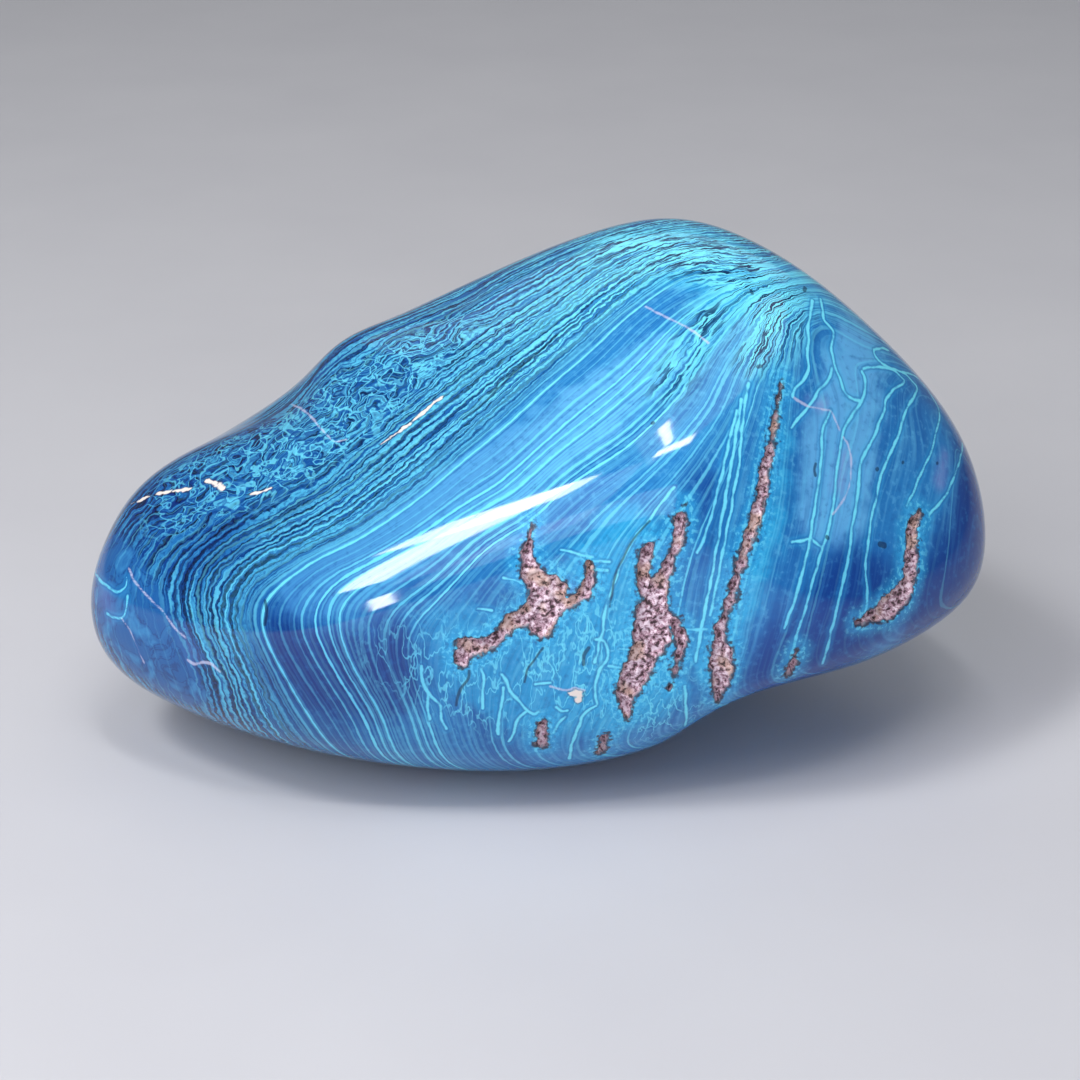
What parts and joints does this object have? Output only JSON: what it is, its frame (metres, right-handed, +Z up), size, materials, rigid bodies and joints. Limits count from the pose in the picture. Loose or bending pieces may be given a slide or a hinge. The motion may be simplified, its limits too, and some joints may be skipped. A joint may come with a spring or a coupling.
{
  "type": "amber nugget",
  "caption": "Polished free-form nugget of banded blue amber with worn facets, rough matrix-filled recesses and a flat to stand on.",
  "frame": {"origin": "bottom centre of the bounding box, on the surface that the nugget stands on", "axes": "+X along the longest way, from the low nose to the high rounded end; -Y towards the viewer; +Z up"},
  "size_m": [0.1028, 0.0624, 0.0584],
  "materials": {
    "polished_amber": "polished"
  },
  "bodies": {
    "root": {"amber_nugget": "polished_amber"}
  },
  "joints": []
}
